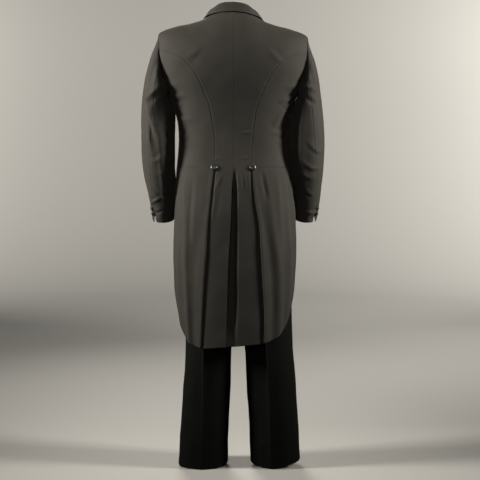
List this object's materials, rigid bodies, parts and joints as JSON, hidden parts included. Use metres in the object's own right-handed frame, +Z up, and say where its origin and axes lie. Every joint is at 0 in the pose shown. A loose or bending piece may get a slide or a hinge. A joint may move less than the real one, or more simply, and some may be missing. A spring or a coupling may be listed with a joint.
{
  "type": "worn tailcoat suit",
  "caption": "Black tailcoat with peaked lapels and a split tail over matching creased trousers, hollow, in the shape they keep when worn.",
  "frame": {"origin": "between the shoulders at the base of the neck, where the wearer holds the suit up, 1.42 m above the trouser hem", "axes": "+Z up, -Y the way the wearer faces, +X to the wearer's left"},
  "size_m": [0.5706, 0.2599, 1.4569],
  "materials": {
    "coat_wool": "matte worsted weave",
    "trouser_wool": "matte worsted weave",
    "button_cloth": "fine satin cover"
  },
  "bodies": {
    "root": {"back_left": "coat_wool", "back_right": "coat_wool", "collar": "coat_wool", "cuff_button_left_1": "button_cloth", "cuff_button_left_2": "button_cloth", "cuff_button_right_1": "button_cloth", "cuff_button_right_2": "button_cloth", "forepart_left": "coat_wool", "forepart_right": "coat_wool", "front_button": "button_cloth", "lapel_left": "coat_wool", "lapel_right": "coat_wool", "side_body_left": "coat_wool", "side_body_right": "coat_wool", "skirt_left": "coat_wool", "skirt_right": "coat_wool", "trouser_back_left": "trouser_wool", "trouser_back_right": "trouser_wool", "trouser_fly": "trouser_wool", "trouser_front_left": "trouser_wool", "trouser_front_right": "trouser_wool", "trouser_waistband": "trouser_wool", "under_sleeve_left": "coat_wool", "under_sleeve_right": "coat_wool", "upper_sleeve_left": "coat_wool", "upper_sleeve_right": "coat_wool", "waist_button_left": "button_cloth", "waist_button_right": "button_cloth"}
  },
  "joints": []
}
